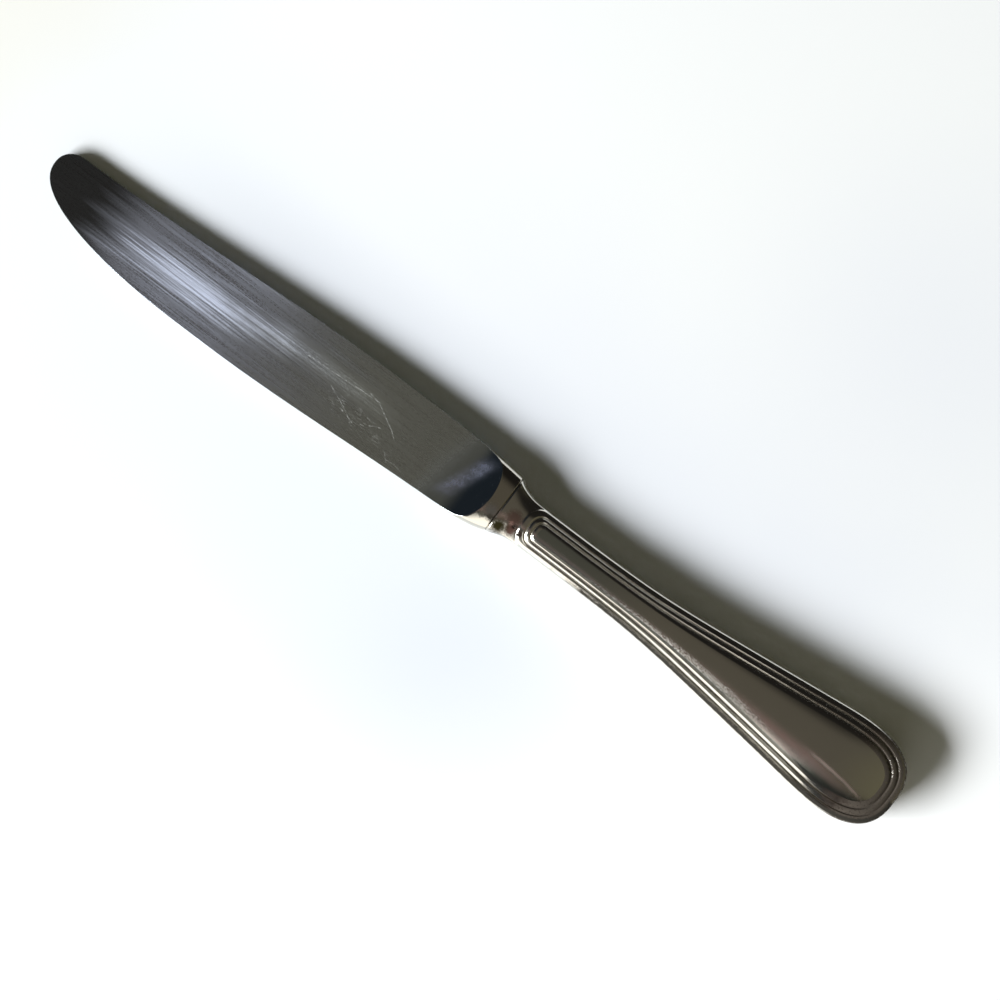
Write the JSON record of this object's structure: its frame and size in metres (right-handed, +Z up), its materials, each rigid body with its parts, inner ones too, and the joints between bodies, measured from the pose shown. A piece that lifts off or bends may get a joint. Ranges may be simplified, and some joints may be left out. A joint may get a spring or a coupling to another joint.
{
  "type": "table knife",
  "caption": "Table knife with a rounded steel blade and a silver-plated hollow handle with a double thread border, lying on its side.",
  "frame": {"origin": "on the surface that the knife lies on, below the middle of its length and width", "axes": "+X along the knife towards the butt of the handle, +Y from the cutting edge towards the spine, +Z up, away from the surface"},
  "size_m": [0.245, 0.0238, 0.0116],
  "materials": {
    "steel": "satin",
    "silver_plate": "polished",
    "solder": "satin",
    "filling": "matte"
  },
  "bodies": {
    "root": {"blade": "steel", "handle_shell_front": "silver_plate", "handle_shell_back": "silver_plate", "solder_seam": "solder", "handle_filling": "filling"}
  },
  "joints": []
}
